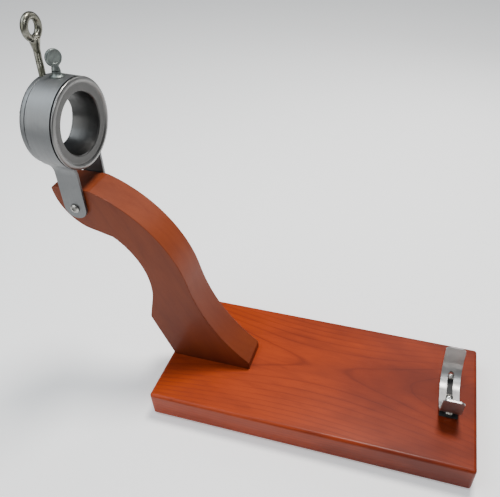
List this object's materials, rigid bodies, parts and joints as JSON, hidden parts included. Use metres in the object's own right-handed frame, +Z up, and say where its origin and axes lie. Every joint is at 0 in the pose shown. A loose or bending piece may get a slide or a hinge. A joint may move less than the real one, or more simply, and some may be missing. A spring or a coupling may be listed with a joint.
{
  "type": "ham holder stand",
  "caption": "Wooden board with an S-shaped arm that carries a tilting, rotating metal cup with an eye screw and a thumbscrew, and a U-shaped rest at the far end.",
  "frame": {"origin": "on the floor, under the middle of the stand's overall length and width", "axes": "+X from the cup end to the rest end, +Y across the board, +Z up"},
  "size_m": [0.5078, 0.18, 0.4678],
  "materials": {
    "varnished_wood": "red-brown varnish",
    "dowel_wood": "bare hardwood",
    "black_rubber": "matte",
    "zinc_steel": "zinc plated",
    "screw_steel": "polished steel",
    "satin_steel": "satin, brushed along the strap",
    "turned_aluminium": "turned, satin",
    "dark_steel": "dull forged steel",
    "black_nylon": "matte",
    "brass": "turned"
  },
  "bodies": {
    "stand": {"base_board": "varnished_wood", "arm": "varnished_wood", "arm_screws": "zinc_steel", "arm_dowels": "dowel_wood", "rubber_feet": "black_rubber", "feet_screws": "zinc_steel", "pivot_sleeve": "brass", "pivot_screws": "screw_steel", "pivot_washers": "zinc_steel", "ham_rest": "satin_steel", "rest_pad": "black_rubber", "rest_screw": "screw_steel", "rest_washer": "zinc_steel", "grip_screws": "screw_steel", "grip_nuts": "screw_steel"},
    "yoke": {"yoke_band": "satin_steel", "thumb_boss": "satin_steel"},
    "holder": {"cup": "turned_aluminium", "cup_collar": "turned_aluminium", "collar_screws": "screw_steel", "glide_ring": "black_nylon"},
    "tip": {"eye_screw_tip": "screw_steel"},
    "eye": {"eye_screw": "dark_steel"},
    "pad": {"lock_pad": "brass"},
    "thumb": {"thumbscrew": "dark_steel"}
  },
  "joints": [
    {"name": "head_tilt", "type": "hinge", "parent": "stand", "child": "yoke", "pos_m": [-0.22655, 0, 0.267], "axis": [0, 1, 0], "range_deg": [-40, 50]},
    {"name": "cup_spin", "type": "hinge", "parent": "yoke", "child": "holder", "pos_m": [-0.22294, 0, 0.36093], "axis": [0.9993, 0, -0.0384], "range_deg": [-135, 135]},
    {"name": "tip_slide", "type": "slide", "parent": "holder", "child": "tip", "axis": [0.0383, 0.0523, 0.9979], "range_m": [-0.01002, 0]},
    {"name": "eye_turn", "type": "hinge", "parent": "tip", "child": "eye", "pos_m": [-0.24088, 0, 0.36162], "axis": [0.0383, 0.0523, 0.9979], "range_deg": [-3600, 0]},
    {"name": "pad_slide", "type": "slide", "parent": "yoke", "child": "pad", "axis": [0.0383, 0.0506, 0.998], "range_m": [0, 0.00302]},
    {"name": "thumb_turn", "type": "hinge", "parent": "pad", "child": "thumb", "pos_m": [-0.22394, 0, 0.36097], "axis": [0.0383, 0.0506, 0.998], "range_deg": [0, 1350]}
  ],
  "couplings": [
    {"joint": "tip_slide", "follows": "eye_turn", "m_per_rad": 0.00015915},
    {"joint": "pad_slide", "follows": "thumb_turn", "m_per_rad": 0.00012732}
  ]
}
